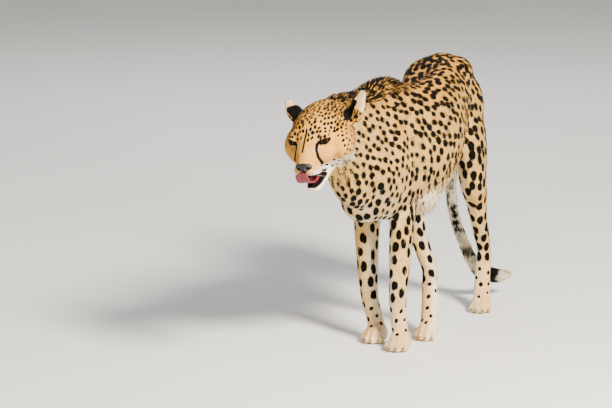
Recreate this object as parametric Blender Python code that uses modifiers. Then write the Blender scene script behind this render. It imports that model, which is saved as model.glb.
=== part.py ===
"""A cheetah standing in mid-step with its head lowered, life size, as a still museum model.

Metres, +Z up. The animal faces -Y and its left side is +X. The flesh is lofted from named
stations, fused into one closed surface, thinned, and cut by thin slabs into its named parts.
The spine bends: the chest faces slightly to the animal's right and the hips slightly to its left.
"""
import math

import bmesh
import bpy
from mathutils import Matrix, Vector

# ---- driving dimensions (metres) -------------------------------------------------------------
VOXEL = 0.0045            # cell of the surface that fuses the masses
GAP = 0.0003              # width of every cut between two parts
TRIANGLES = 4600          # about what the fused flesh is thinned to, before it is cut

HEAD_EYES = Vector((-0.130, -0.400, 0.657))   # point midway between the eyes
HEAD_YAW = math.radians(-4)                   # turned to the animal's right
HEAD_PITCH = math.radians(14)                 # lowered at the nose
HEAD_ROLL = math.radians(-6)                  # left eye a little higher
HEAD_SCALE = 1.12

CHIN = (0.007, 0.055, -0.1042)                # in the head's axes; the mouth is a little open

EYE_RADIUS = 0.0175
EYE_PLACE = Vector((0.0380, 0.0078, 0.003))    # from the point midway between the eyes

# Legs: centres of the joints, from the shoulder blade or hip down to the paw.
FORE_LEFT = {
    "blade": (-0.044, 0.085, 0.690), "shoulder": (-0.024, 0.012, 0.560),
    "elbow": (-0.030, 0.125, 0.410), "forearm": (-0.026, 0.094, 0.300),
    "wrist": (-0.022, 0.050, 0.140), "pastern": (-0.016, 0.040, 0.085),
    "paw": (-0.006, 0.030, 0.026), "heading": (-0.10, -0.99, 0.0)}
FORE_RIGHT = {
    "blade": (-0.112, 0.098, 0.690), "shoulder": (-0.146, 0.040, 0.548),
    "elbow": (-0.150, 0.186, 0.395), "forearm": (-0.148, 0.166, 0.285),
    "wrist": (-0.131, 0.132, 0.135), "pastern": (-0.115, 0.122, 0.080),
    "paw": (-0.097, 0.108, 0.026), "heading": (-0.20, -0.98, 0.0)}
HIND_LEFT = {
    "hip": (0.002, 0.580, 0.625), "thigh": (0.034, 0.570, 0.510), "knee": (0.050, 0.552, 0.395),
    "shin": (0.055, 0.600, 0.270), "hock": (0.058, 0.655, 0.165), "shank": (0.062, 0.622, 0.085),
    "paw": (0.072, 0.580, 0.024), "heading": (0.16, -0.98, 0.0)}
HIND_RIGHT = {
    "hip": (-0.096, 0.530, 0.635), "thigh": (-0.098, 0.460, 0.510), "knee": (-0.076, 0.375, 0.420),
    "shin": (-0.056, 0.338, 0.290), "hock": (-0.004, 0.304, 0.170), "shank": (0.014, 0.242, 0.088),
    "paw": (0.028, 0.187, 0.024), "heading": (-0.05, -1.0, 0.0)}

LEG_CUTS = [  # leg, the joints above and below its cut from the trunk, height and depth of the cut
    (FORE_LEFT, "elbow", "forearm", 0.334, 0.130), (FORE_RIGHT, "elbow", "forearm", 0.334, 0.130),
    (HIND_LEFT, "thigh", "knee", 0.442, 0.230), (HIND_RIGHT, "knee", "shin", 0.384, 0.230)]

# Trunk and neck: place along the spine (x, y), half width, top and bottom heights.
TRUNK = [
    (-0.058, 0.692, 0.040, 0.668, 0.525),   # buttocks
    (-0.053, 0.655, 0.072, 0.728, 0.500),   # tail root
    (-0.045, 0.585, 0.094, 0.750, 0.480),   # hips
    (-0.030, 0.500, 0.090, 0.750, 0.462),   # loin
    (-0.009, 0.410, 0.082, 0.738, 0.445),   # waist
    (-0.006, 0.320, 0.094, 0.728, 0.412),   # last ribs
    (-0.026, 0.220, 0.103, 0.722, 0.376),   # ribs
    (-0.052, 0.130, 0.099, 0.735, 0.354),   # deepest chest
    (-0.072, 0.050, 0.093, 0.752, 0.354),   # withers
    (-0.086, -0.030, 0.082, 0.742, 0.372),  # shoulders
    (-0.098, -0.085, 0.058, 0.700, 0.424)]  # breast
NECK = [
    (-0.074, 0.065, 0.066, 0.728, 0.460),
    (-0.082, 0.000, 0.076, 0.746, 0.424),
    (-0.092, -0.075, 0.074, 0.750, 0.408),
    (-0.107, -0.155, 0.068, 0.749, 0.482),
    (-0.120, -0.235, 0.062, 0.748, 0.545),
    (-0.127, -0.300, 0.058, 0.738, 0.580)]
# Tail: centre and radius, from its root down and round to its tip near the floor.
TAIL = [
    ((-0.055, 0.655, 0.690), 0.034), ((-0.056, 0.718, 0.645), 0.027),
    ((-0.062, 0.752, 0.550), 0.021), ((-0.068, 0.752, 0.430), 0.019),
    ((-0.067, 0.738, 0.320), 0.018), ((-0.050, 0.724, 0.240), 0.018),
    ((-0.024, 0.714, 0.180), 0.018), ((0.004, 0.714, 0.122), 0.019),
    ((0.030, 0.735, 0.083), 0.022), ((0.060, 0.772, 0.066), 0.023), ((0.085, 0.800, 0.066), 0.015)]

TOE_HEIGHT = 0.0115       # middle of a toe above the floor
RING = 18                 # points round a loft
STEP = 0.012              # spacing of a loft's rings
TAN = (0.72, 0.46, 0.22)  # sandy coat


# ---- shapes -----------------------------------------------------------------------------------
def catmull(values, t):
    """Value of the smooth curve through a list of vectors or numbers, at t in 0..len-1."""
    i = min(int(t), len(values) - 2)
    f = t - i
    p1, p2 = values[i], values[i + 1]
    p0 = values[i - 1] if i > 0 else p1 * 2 - p2
    p3 = values[i + 2] if i + 2 < len(values) else p2 * 2 - p1
    return 0.5 * (2 * p1 + (p2 - p0) * f + (2 * p0 - 5 * p1 + 4 * p2 - p3) * f * f
                  + (3 * p1 - p0 - 3 * p2 + p3) * f ** 3)


def loft(bm, centres, halves, ahead, place=Matrix()):
    """A closed smooth tube through elliptical stations. halves holds (half width, half depth),
    and ahead is the direction that the depth is measured along."""
    centres = [Vector(c) for c in centres]
    halves = [Vector((w, d, 0.0)) for w, d in halves]
    length = sum((b - a).length for a, b in zip(centres, centres[1:]))
    count = max(4, round(length / STEP))
    spans = len(centres) - 1
    rings = []
    for k in range(count + 1):
        t = spans * k / count
        here = catmull(centres, t)
        along = (catmull(centres, min(spans, t + 0.05)) - catmull(centres, max(0, t - 0.05))).normalized()
        side = Vector(ahead).cross(along).normalized()
        depth = along.cross(side)
        size = catmull(halves, t)
        rings.append((here, along, side, depth, max(size.x, 0.002), max(size.y, 0.002)))
    ends = []
    for ring, way in ((rings[0], -1), (rings[-1], 1)):
        here, along, side, depth, width, height = ring
        bulge = 0.6 * min(width, height)
        for angle in (math.radians(30), math.radians(58), math.radians(80)):
            shrink = math.cos(angle)
            ends.append((way, (here + along * way * bulge * math.sin(angle), along, side, depth,
                               width * shrink, height * shrink)))
    rings = ([e for way, e in reversed(ends) if way < 0] + rings + [e for way, e in ends if way > 0])
    rows = []
    for here, along, side, depth, width, height in rings:
        angles = [2 * math.pi * j / RING for j in range(RING)]
        rows.append([bm.verts.new(place @ (here + side * width * math.cos(a)
                                           + depth * height * math.sin(a))) for a in angles])
    for low, high in zip(rows, rows[1:]):
        for j in range(RING):
            k = (j + 1) % RING
            bm.faces.new((low[j], low[k], high[k], high[j]))
    bm.faces.new(list(reversed(rows[0])))
    bm.faces.new(rows[-1])


def blob(bm, centre, radii, turn=(0, 0, 0), place=Matrix()):
    """An ellipsoid; turn is in degrees about X, Y and Z."""
    spin = Matrix()
    for degrees, axis in zip(turn, "XYZ"):
        spin = Matrix.Rotation(math.radians(degrees), 4, axis) @ spin
    shape = Matrix.Translation(centre) @ spin @ Matrix.Diagonal((*radii, 1.0))
    bmesh.ops.create_uvsphere(bm, u_segments=28, v_segments=18, radius=1.0, matrix=place @ shape)


def head_frame():
    """Matrix from the head's own axes: X left, Y ahead, Z up, and the origin between the eyes."""
    turn = Matrix.Rotation(HEAD_YAW, 4, "Z") @ Matrix.Rotation(HEAD_PITCH, 4, "X") \
        @ Matrix.Rotation(HEAD_ROLL, 4, "Y")
    size = Matrix.Diagonal((HEAD_SCALE, -HEAD_SCALE, HEAD_SCALE, 1))   # ahead is -Y in the model
    return Matrix.Translation(HEAD_EYES) @ turn @ size


# ---- the animal's masses --------------------------------------------------------------------
def add_trunk(bm):
    for rows in (TRUNK, NECK):
        centres = [(x, y, (top + low) / 2) for x, y, half, top, low in rows]
        halves = [(half, (top - low) / 2) for x, y, half, top, low in rows]
        loft(bm, centres, halves, (0, 0, 1))
    blob(bm, (-0.098, -0.018, 0.434), (0.071, 0.068, 0.074))          # breast muscle
    for x, y, z in ((-0.080, 0.507, 0.683), (-0.048, 0.520, 0.695), (-0.014, 0.540, 0.684)):
        blob(bm, (x, y, z), (0.060, 0.128, 0.059), (6, 0, 0))         # croup, broad and flat
    for side in (-1, 1):                                              # from neck to upper arm
        loft(bm, [(-0.105 + side * 0.022, -0.160, 0.600), (-0.092 + side * 0.048, -0.060, 0.530),
                  (-0.085 + side * 0.058, 0.030, 0.470)],
             [(0.040, 0.070), (0.046, 0.078), (0.040, 0.070)], (0, 0, 1))
    blob(bm, (-0.124, 0.105, 0.560), (0.056, 0.120, 0.150), (-14, 0, 0))   # right shoulder, outside
    loft(bm, [(-0.102, 0.520, 0.630), (-0.080, 0.410, 0.598), (-0.052, 0.300, 0.578),
              (-0.040, 0.200, 0.560)],                                     # right flank, hip to ribs
         [(0.052, 0.105), (0.058, 0.120), (0.054, 0.112), (0.040, 0.090)], (0, 0, 1))


def add_foreleg(bm, leg, outward):
    ahead = leg["heading"]
    names = ["blade", "shoulder", "elbow", "forearm", "wrist", "pastern", "paw"]
    sizes = [(0.030, 0.060), (0.045, 0.076), (0.040, 0.057), (0.0345, 0.0415), (0.0268, 0.0285),
             (0.0242, 0.025), (0.0265, 0.026)]
    loft(bm, [leg[n] for n in names[:3]], sizes[:3], (0, -0.8, 0.6))
    loft(bm, [leg[n] for n in names[2:]], sizes[2:], ahead)
    upper = (Vector(leg["shoulder"]) + Vector(leg["elbow"])) / 2
    triceps = upper + Vector((-outward * 0.003, 0.034, 0.038))
    blob(bm, triceps, (0.038, 0.076, 0.094), (-28, 0, 0))
    blob(bm, Vector(leg["elbow"]) + Vector((0, 0.026, 0.012)), (0.020, 0.024, 0.030))   # its point
    blob(bm, Vector(leg["wrist"]) + Vector((0, 0.018, -0.004)), (0.013, 0.013, 0.013))  # wrist pad
    add_paw(bm, leg, 0.97)


def add_hindleg(bm, leg, outward):
    ahead = leg["heading"]
    calf = (Vector(leg["knee"]) + Vector(leg["shin"])) / 2 - Vector(ahead) * 0.010
    upper = [leg["hip"], leg["thigh"], leg["knee"], calf, leg["shin"], leg["hock"]]
    loft(bm, upper, [(0.050, 0.104), (0.050, 0.104), (0.041, 0.064), (0.034, 0.052), (0.027, 0.036),
                     (0.0215, 0.027)], ahead)
    loft(bm, [leg[n] for n in ("hock", "shank", "paw")],
         [(0.0225, 0.027), (0.0245, 0.023), (0.027, 0.025)], ahead)
    heel = Vector(leg["hock"]) - Vector(ahead) * 0.018 + Vector((0, 0, 0.008))
    blob(bm, heel, (0.013, 0.015, 0.026))
    haunch = Vector(leg["hip"]) + Vector((outward * 0.016, 0.006, -0.040))
    blob(bm, haunch, (0.048, 0.108, 0.104))
    add_paw(bm, leg, 0.92)


def add_paw(bm, leg, size):
    """A broad paw with a heel pad and four toes, the middle two ahead of the others."""
    ahead = Vector(leg["heading"]).normalized()
    side = Vector((-ahead.y, ahead.x, 0))
    centre = Vector(leg["paw"])
    turn = math.degrees(math.atan2(ahead.x, -ahead.y))
    foot = centre + ahead * 0.008 * size - Vector((0, 0, 0.001))
    blob(bm, foot, (0.034 * size, 0.044 * size, 0.029), (0, 0, turn))
    heel = centre - ahead * 0.018 * size - Vector((0, 0, 0.014))
    blob(bm, heel, (0.024 * size, 0.022 * size, 0.016), (0, 0, turn))
    for across, reach, spread in ((-0.0265, 0.030, -14), (-0.0095, 0.044, -4),
                                  (0.0095, 0.044, 4), (0.0265, 0.030, 14)):
        toe = centre + side * across * size + ahead * reach * size
        toe.z = TOE_HEIGHT
        blob(bm, toe, (0.0108 * size, 0.021 * size, 0.0155), (0, 0, turn + spread))


def add_tail(bm):
    loft(bm, [c for c, r in TAIL], [(r, r) for c, r in TAIL], (0, -1, 0.2))


def add_head(bm):
    at = head_frame()
    skull = [  # ahead, half width, half height, height
        (-0.155, 0.036, 0.038, -0.004), (-0.125, 0.060, 0.061, -0.004),
        (-0.090, 0.073, 0.069, -0.007), (-0.055, 0.074, 0.067, -0.009),
        (-0.025, 0.063, 0.059, -0.013), (0.000, 0.050, 0.049, -0.020),
        (0.020, 0.040, 0.041, -0.030), (0.040, 0.033, 0.034, -0.040),
        (0.056, 0.028, 0.028, -0.046), (0.066, 0.022, 0.020, -0.048)]
    loft(bm, [(0, y, z) for y, w, h, z in skull], [(w, h) for y, w, h, z in skull], (0, 0, 1), at)
    blob(bm, (0, -0.028, 0.020), (0.048, 0.046, 0.034), (-14, 0, 0), at)        # forehead
    loft(bm, [(0, -0.010, 0.018), (0, 0.028, -0.003), (0, 0.068, -0.034)],      # bridge of the nose
         [(0.026, 0.014), (0.0195, 0.013), (0.0165, 0.011)], (0, 0, 1), at)
    blob(bm, (0, 0.067, -0.042), (0.0155, 0.010, 0.0105), place=at)             # nose
    for side in (-1, 1):
        cheek, under_eye, brow = (side * 0.054, -0.060, -0.028), (side * 0.029, 0, -0.030), \
            (side * 0.035, 0, 0.018)
        blob(bm, cheek, (0.031, 0.062, 0.044), (0, 0, -side * 12), at)
        blob(bm, under_eye, (0.024, 0.042, 0.026), (0, 0, -side * 20), at)
        blob(bm, brow, (0.018, 0.015, 0.010), (0, side * 14, 0), at)
        lip, jaw_muscle = (side * 0.0170, 0.046, -0.0565), (side * 0.035, -0.068, -0.052)
        blob(bm, lip, (0.0190, 0.024, 0.0160), (-16, 0, -side * 14), at)
        blob(bm, jaw_muscle, (0.034, 0.056, 0.038), place=at)
    loft(bm, [(0, -0.090, -0.060), (0, -0.030, -0.079), (0.004, 0.018, -0.0955), CHIN],
         [(0.046, 0.028), (0.037, 0.021), (0.026, 0.0140), (0.0200, 0.0120)], (0, 0, 1), at)


def ear_points(side):
    """Root, middle and tip of an ear in the head's axes, and the way that its hollow faces.
    The left ear stands a little taller."""
    if side > 0:
        root, tip = Vector((0.075, -0.094, 0.010)), Vector((0.103, -0.124, 0.067))
        faces = (0.66, -0.74, 0.1)
    else:
        root, tip = Vector((-0.062, -0.086, 0.020)), Vector((-0.089, -0.103, 0.060))
        faces = (-0.95, -0.25, 0.1)
    return root, (root + tip) / 2 + Vector((0, 0.002, 0.003)), tip, Vector(faces)


def add_ears(bm):
    """Two short round ears set wide and turned back, so that their backs show from ahead."""
    at = head_frame()
    for side in (-1, 1):
        root, middle, tip, faces = ear_points(side)
        loft(bm, [root, middle, tip], [(0.028, 0.0115), (0.0315, 0.0115), (0.0190, 0.0080)], faces, at)


# ---- fusing and cutting ---------------------------------------------------------------------
def material(name, colour, roughness, metallic=0.0):
    mat = bpy.data.materials.new(name)
    mat.use_nodes = True
    shader = mat.node_tree.nodes["Principled BSDF"]
    shader.inputs["Base Color"].default_value = (*colour, 1)
    shader.inputs["Roughness"].default_value = roughness
    shader.inputs["Metallic"].default_value = metallic
    return mat


def new_object(name, bm, collection, finish=None):
    mesh = bpy.data.meshes.new(name)
    bm.normal_update()
    bm.to_mesh(mesh)
    bm.free()
    obj = bpy.data.objects.new(name, mesh)
    if finish:
        mesh.materials.append(finish)
    collection.objects.link(obj)
    return obj


def applied(obj):
    """A fresh bmesh of the object with its modifiers applied; the object is removed."""
    depsgraph = bpy.context.evaluated_depsgraph_get()
    mesh = bpy.data.meshes.new_from_object(obj.evaluated_get(depsgraph))
    bm = bmesh.new()
    bm.from_mesh(mesh)
    bpy.data.objects.remove(obj)
    return bm


def detail(point):
    """1 where the surface may be thinned freely, less at the head and paws."""
    to_head = (point - (HEAD_EYES + Vector((0, 0.03, 0)))).length
    if to_head < 0.15:
        return 0.993
    if point.z < 0.05:
        return 0.997
    return 1.0


def fused(collection):
    """All the masses as one closed thinned surface, ground flat under the paws."""
    bm = bmesh.new()
    add_trunk(bm)
    add_foreleg(bm, FORE_LEFT, 1)
    add_foreleg(bm, FORE_RIGHT, -1)
    add_hindleg(bm, HIND_LEFT, 1)
    add_hindleg(bm, HIND_RIGHT, -1)
    add_tail(bm)
    add_head(bm)
    add_ears(bm)
    bmesh.ops.recalc_face_normals(bm, faces=bm.faces)
    flesh = new_object("masses", bm, collection)
    remesh = flesh.modifiers.new("fuse", "REMESH")
    remesh.mode = "VOXEL"
    remesh.voxel_size = VOXEL
    smooth = flesh.modifiers.new("soften", "SMOOTH")
    smooth.factor = 0.5
    smooth.iterations = 6
    bm = applied(flesh)
    flesh = new_object("flesh", bm, collection)
    group = flesh.vertex_groups.new(name="thin")
    for vertex in flesh.data.vertices:
        group.add([vertex.index], detail(vertex.co), "REPLACE")
    faces = 2 * len(flesh.data.polygons)
    thin = flesh.modifiers.new("thin", "DECIMATE")
    thin.ratio = TRIANGLES / faces
    thin.vertex_group = "thin"
    thin.use_collapse_triangulate = True
    bm = applied(flesh)
    cut = bmesh.ops.bisect_plane(bm, geom=bm.verts[:] + bm.edges[:] + bm.faces[:], dist=1e-6,
                                 plane_co=(0, 0, 0), plane_no=(0, 0, -1), clear_outer=True)
    rim = [e for e in cut["geom_cut"] if isinstance(e, bmesh.types.BMEdge)]
    bmesh.ops.contextual_create(bm, geom=rim)
    bmesh.ops.triangulate(bm, faces=[f for f in bm.faces if len(f.verts) > 4])
    return bm


def slab(bm, centre, normal, width, height, across=(1, 0, 0)):
    """A thin cutting plate at centre, square to normal, width along across."""
    normal = Vector(normal).normalized()
    side = (Vector(across) - normal * normal.dot(Vector(across))).normalized()
    up = normal.cross(side)
    frame = Matrix((side, up, normal)).transposed().to_4x4()
    bmesh.ops.create_cube(bm, size=1.0, matrix=Matrix.Translation(centre) @ frame
                          @ Matrix.Diagonal((width, height, GAP, 1.0)))


def add_cuts(bm):
    """Every plate that parts one named piece from the next."""
    at = head_frame()
    turn = at.to_3x3().normalized()
    slab(bm, (-0.125, -0.262, 0.650), (0.04, 1, -0.05), 0.30, 0.30)                   # head from neck
    slab(bm, (-0.088, -0.045, 0.585), (-0.15, 0.965, -0.263), 0.34, 0.44)              # neck from chest
    slab(bm, (-0.020, 0.262, 0.587), (0, 1, 0), 0.34, 0.420)                           # chest from loin
    jaw = at @ Vector((0, -0.056, -0.0810))
    slab(bm, jaw, turn @ Vector((0, -0.10, 1)), 0.17, 0.170, turn.col[0])
    for side in (-1, 1):
        root, middle, tip, faces = ear_points(side)
        slab(bm, at @ root.lerp(tip, 0.36), turn @ (tip - root), 0.085, 0.085)
        cup = [point + faces * 0.0070 for point in (root.lerp(tip, 0.12), middle, root.lerp(tip, 1.10))]
        loft(bm, cup, [(0.014, 0.0070), (0.0230, 0.0095), (0.0120, 0.0055)], faces, at)
    for leg, above, below, height, depth in LEG_CUTS:
        high, low = Vector(leg[above]), Vector(leg[below])
        share = (high.z - height) / (high.z - low.z)
        slab(bm, high.lerp(low, share), (0, 0, 1), 0.112, depth)
    for leg in (FORE_LEFT, FORE_RIGHT, HIND_LEFT, HIND_RIGHT):
        names = ("wrist", "pastern") if "wrist" in leg else ("hock", "shank")
        joint, below = (Vector(leg[name]) for name in names)
        slab(bm, joint.lerp(below, 0.42), (joint - below), 0.085, 0.085)
    slab(bm, (-0.064, 0.750, 0.575), (0, 0.10, -1), 0.080, 0.080)                      # tail from rump
    slab(bm, (-0.040, 0.720, 0.217), (0.4, -0.2, -1), 0.070, 0.070)                    # tail's lower length


SEEDS = {  # a point near the middle of each part, which names the piece found there
    "chest": (-0.05, 0.11, 0.55), "loin_and_rump": (-0.04, 0.47, 0.60), "neck": (-0.105, -0.15, 0.62),
    "head": (-0.13, -0.36, 0.65), "lower_jaw": (-0.12, -0.37, 0.565),
    "ear_left": (-0.025, -0.30, 0.750), "ear_right": (-0.220, -0.30, 0.725),
    "foreleg_left": (-0.025, 0.08, 0.22), "forepaw_left": (-0.010, 0.03, 0.04),
    "foreleg_right": (-0.143, 0.155, 0.22), "forepaw_right": (-0.105, 0.11, 0.04),
    "hind_leg_left": (0.052, 0.58, 0.30), "hind_paw_left": (0.066, 0.60, 0.05),
    "hind_leg_right": (-0.045, 0.34, 0.27), "hind_paw_right": (0.018, 0.21, 0.05),
    "tail_upper": (-0.067, 0.745, 0.40), "tail_tip": (0.02, 0.74, 0.10)}


def eye_centre(side):
    place = EYE_PLACE.copy()
    place.x *= side
    return head_frame() @ place


def parted(bm, collection, coat):
    """The fused surface cut into its named pieces."""
    body = new_object("body", bm, collection, coat)
    knives = bmesh.new()
    add_cuts(knives)
    for side in (-1, 1):
        bmesh.ops.create_uvsphere(knives, u_segments=18, v_segments=12, radius=EYE_RADIUS * 1.02 + GAP,
                                  matrix=Matrix.Translation(eye_centre(side)))
    bmesh.ops.recalc_face_normals(knives, faces=knives.faces)
    cutters = bpy.data.collections.new("cutters")
    bpy.context.scene.collection.children.link(cutters)
    knife = new_object("knives", knives, cutters)
    knife.hide_render = True
    knife.display_type = "WIRE"
    cut = body.modifiers.new("cut", "BOOLEAN")
    cut.operation = "DIFFERENCE"
    cut.solver = "EXACT"
    cut.object = knife
    cut.use_self = True
    bm = applied(body)
    bpy.data.objects.remove(knife)
    bmesh.ops.triangulate(bm, faces=bm.faces)
    pieces = loose_pieces(bm)
    bm.free()
    return pieces


def loose_pieces(bm):
    """The unconnected pieces of a mesh, each as a list of points and a list of faces."""
    left = set(bm.faces)
    pieces = []
    while left:
        stack = [left.pop()]
        found = list(stack)
        while stack:
            for edge in stack.pop().edges:
                for face in edge.link_faces:
                    if face in left:
                        left.remove(face)
                        stack.append(face)
                        found.append(face)
        verts = list({v for f in found for v in f.verts})
        index = {v: i for i, v in enumerate(verts)}
        pieces.append(([v.co.copy() for v in verts], [[index[v] for v in f.verts] for f in found]))
    return pieces


def piece_name(points):
    middle = sum(points, Vector()) / len(points)
    return min(SEEDS, key=lambda name: (Vector(SEEDS[name]) - middle).length)


def place_object(name, points, faces, collection, finish, shift):
    """A part with its origin at its own middle, moved so that the model stands about the origin."""
    middle = sum(points, Vector()) / len(points)
    mesh = bpy.data.meshes.new(name)
    mesh.from_pydata([p - middle for p in points], [], faces)
    mesh.materials.append(finish)
    obj = bpy.data.objects.new(name, mesh)
    obj.location = middle + shift
    collection.objects.link(obj)


def shape_of(build):
    """Points and faces of a mesh that build(bm) makes."""
    bm = bmesh.new()
    build(bm)
    bmesh.ops.recalc_face_normals(bm, faces=bm.faces)
    bmesh.ops.triangulate(bm, faces=bm.faces)
    bm.verts.index_update()
    shape = ([v.co.copy() for v in bm.verts], [[v.index for v in f.verts] for f in bm.faces])
    bm.free()
    return shape


def tongue(bm):
    """Curls out of the mouth and up over the upper lip."""
    path = [(0.006, 0.027, -0.0808), (0.005, 0.043, -0.0850), (0.002, 0.0610, -0.0858),
            (-0.002, 0.0762, -0.0790), (-0.005, 0.0802, -0.0675), (-0.006, 0.0804, -0.0575)]
    halves = [(0.012, 0.0026), (0.015, 0.0030), (0.0175, 0.0032),
              (0.0185, 0.0032), (0.0175, 0.0030), (0.0135, 0.0024)]
    loft(bm, path, halves, (0, 0.3, 1), head_frame())


def main():
    for obj in list(bpy.data.objects):
        bpy.data.objects.remove(obj)
    model = bpy.data.collections.new("cheetah")
    bpy.context.scene.collection.children.link(model)
    coat = material("coat", TAN, 0.9)
    shapes = {}
    for points, faces in parted(fused(model), model, coat):
        name = piece_name(points)
        if name in shapes and len(points) <= len(shapes[name][0]):
            continue
        shapes[name] = (points, faces, coat)
    eye = material("eye", (0.16, 0.07, 0.02), 0.08)
    for side, name in ((1, "eye_left"), (-1, "eye_right")):
        ball = Matrix.Translation(eye_centre(side))
        points, faces = shape_of(lambda bm: bmesh.ops.create_uvsphere(
            bm, u_segments=18, v_segments=12, radius=EYE_RADIUS, matrix=ball))
        shapes[name] = (points, faces, eye)
    points, faces = shape_of(tongue)
    shapes["tongue"] = (points, faces, material("tongue", (0.75, 0.20, 0.24), 0.35))

    every = [p for points, faces, finish in shapes.values() for p in points]
    low = Vector([min(p[i] for p in every) for i in range(3)])
    high = Vector([max(p[i] for p in every) for i in range(3)])
    shift = Vector((-(low.x + high.x) / 2, -(low.y + high.y) / 2, -low.z))
    for name, (points, faces, finish) in shapes.items():
        place_object(name, points, faces, model, finish, shift)


main()
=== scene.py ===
"""The looks of a life-size cheetah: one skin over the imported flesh, its coat of mesh tufts, eyes,
lids, nose, tongue, claws and whiskers. Metres, +Z up; the animal faces -Y and its left is +X."""
import math

import bmesh
import bpy
import numpy as np
from mathutils import Matrix, Vector, kdtree
from mathutils.bvhtree import BVHTree
from numpy.linalg import norm


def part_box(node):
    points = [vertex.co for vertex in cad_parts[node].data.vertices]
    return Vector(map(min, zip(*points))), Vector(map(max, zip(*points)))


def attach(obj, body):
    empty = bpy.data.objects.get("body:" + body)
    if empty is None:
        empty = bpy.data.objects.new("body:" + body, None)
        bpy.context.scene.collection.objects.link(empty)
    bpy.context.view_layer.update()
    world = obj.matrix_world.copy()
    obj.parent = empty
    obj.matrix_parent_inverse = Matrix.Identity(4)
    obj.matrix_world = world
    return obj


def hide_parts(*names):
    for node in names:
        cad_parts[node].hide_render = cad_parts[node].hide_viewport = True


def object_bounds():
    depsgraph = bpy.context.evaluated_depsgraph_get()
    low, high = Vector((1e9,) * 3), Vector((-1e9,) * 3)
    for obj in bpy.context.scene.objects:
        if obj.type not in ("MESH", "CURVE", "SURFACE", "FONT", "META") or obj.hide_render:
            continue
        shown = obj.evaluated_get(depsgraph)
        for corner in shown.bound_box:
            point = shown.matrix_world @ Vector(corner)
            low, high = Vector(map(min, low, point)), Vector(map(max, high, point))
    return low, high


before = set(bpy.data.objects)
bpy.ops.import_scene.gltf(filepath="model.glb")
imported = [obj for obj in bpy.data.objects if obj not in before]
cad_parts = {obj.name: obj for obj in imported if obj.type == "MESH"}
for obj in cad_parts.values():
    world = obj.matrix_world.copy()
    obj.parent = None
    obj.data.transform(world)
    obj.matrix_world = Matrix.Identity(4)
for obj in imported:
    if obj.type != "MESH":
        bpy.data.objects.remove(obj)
CAD_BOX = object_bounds()
RNG = np.random.default_rng(7)

# ---- where the animal is ----
# The head's axes (X left, Y ahead, Z up) turn as the solids' head does; its origin follows the eyes.
HEAD_YAW, HEAD_PITCH, HEAD_ROLL = math.radians(-4), math.radians(14), math.radians(-6)
HEAD_SCALE = 1.12
EYES_AT = Vector((0, .0078, .003))              # middle of the eyes' centres in the head's axes
HEAD_MODELLED = Vector((-.13, -.4, .657))   # the head's origin in the places listed below


def box_middle(node):
    low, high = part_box(node)
    return (Vector(low) + Vector(high)) / 2


EYE_LEFT, EYE_RIGHT = box_middle("eye_left"), box_middle("eye_right")
EYE_AT = {1: np.array(EYE_LEFT), -1: np.array(EYE_RIGHT)}
EYE_RADIUS = (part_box("eye_left")[1][2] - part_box("eye_left")[0][2]) / 2
TURN = Matrix.Rotation(HEAD_YAW, 4, "Z") @ Matrix.Rotation(HEAD_PITCH, 4, "X") \
    @ Matrix.Rotation(HEAD_ROLL, 4, "Y") @ Matrix.Diagonal((HEAD_SCALE, -HEAD_SCALE, HEAD_SCALE, 1))
HEAD_AT = (EYE_LEFT + EYE_RIGHT) / 2 - TURN.to_3x3() @ EYES_AT
HEAD = Matrix.Translation(HEAD_AT) @ TURN
SHIFT = np.array(HEAD_AT - HEAD_MODELLED)         # from the places listed below to where they are now

# Centre lines in the places of the solids' source: limbs and tail from the top down, the spine from
# the head back. A paw's heading is the way that its toes point.
LEGS = {
    "foreleg_left": [(-.024, .012, .56), (-.03, .125, .41), (-.026, .094, .3), (-.022, .05, .14),
                     (-.016, .04, .085), (-.006, .03, .026)],
    "foreleg_right": [(-.146, .04, .548), (-.15, .186, .395), (-.148, .166, .285), (-.131, .132, .135),
                      (-.115, .122, .08), (-.097, .108, .026)],
    "hind_leg_left": [(.002, .58, .625), (.034, .57, .51), (.05, .552, .395), (.055, .6, .27),
                      (.058, .655, .165), (.062, .622, .085), (.072, .58, .024)],
    "hind_leg_right": [(-.096, .53, .635), (-.098, .46, .51), (-.076, .375, .42), (-.056, .338, .29),
                       (-.004, .304, .17), (.014, .242, .088), (.028, .187, .024)]}
HEADINGS = {"foreleg_left": (-.1, -.99, 0), "foreleg_right": (-.2, -.98, 0),
            "hind_leg_left": (.16, -.98, 0), "hind_leg_right": (-.05, -1, 0)}
PAWS = {"forepaw_left": "foreleg_left", "forepaw_right": "foreleg_right",
        "hind_paw_left": "hind_leg_left", "hind_paw_right": "hind_leg_right"}
TAIL = [(-.056, .718, .645), (-.062, .752, .55), (-.068, .752, .43), (-.067, .738, .32),
        (-.05, .724, .24), (-.024, .714, .18), (.004, .714, .122), (.03, .735, .083),
        (.06, .772, .066), (.085, .8, .066)]
SPINE = [(-.13, -.52, .6), (-.13, -.4, .64), (-.127, -.3, .66), (-.107, -.155, .62),
         (-.082, .000, .575), (-.052, .13, .545), (-.026, .22, .55), (-.006, .32, .57),
         (-.009, .41, .59), (-.03, .5, .605), (-.045, .585, .615), (-.058, .692, .6)]
CHAINS = {name: np.array(line) + SHIFT for name, line in {**LEGS, "tail": TAIL, "spine": SPINE}.items()}

FLESH = [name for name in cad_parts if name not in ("eye_left", "eye_right", "tongue")]
SKULL = ("head", "lower_jaw")
EARS = ("ear_left", "ear_right")
HIND_LEGS = ("hind_leg_left", "hind_leg_right")
TAIL_NODES = ("tail_upper", "tail_tip")
LIMB_NODES = {**{leg: (leg, paw) for paw, leg in PAWS.items()}, "tail": TAIL_NODES}
GROW = .0004              # how far each solid grows, to close the cuts between them
VOXEL = .0026             # cell of the surface that fuses the flesh
SKIN_TRIANGLES = 176000   # of the skin without its lids


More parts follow.
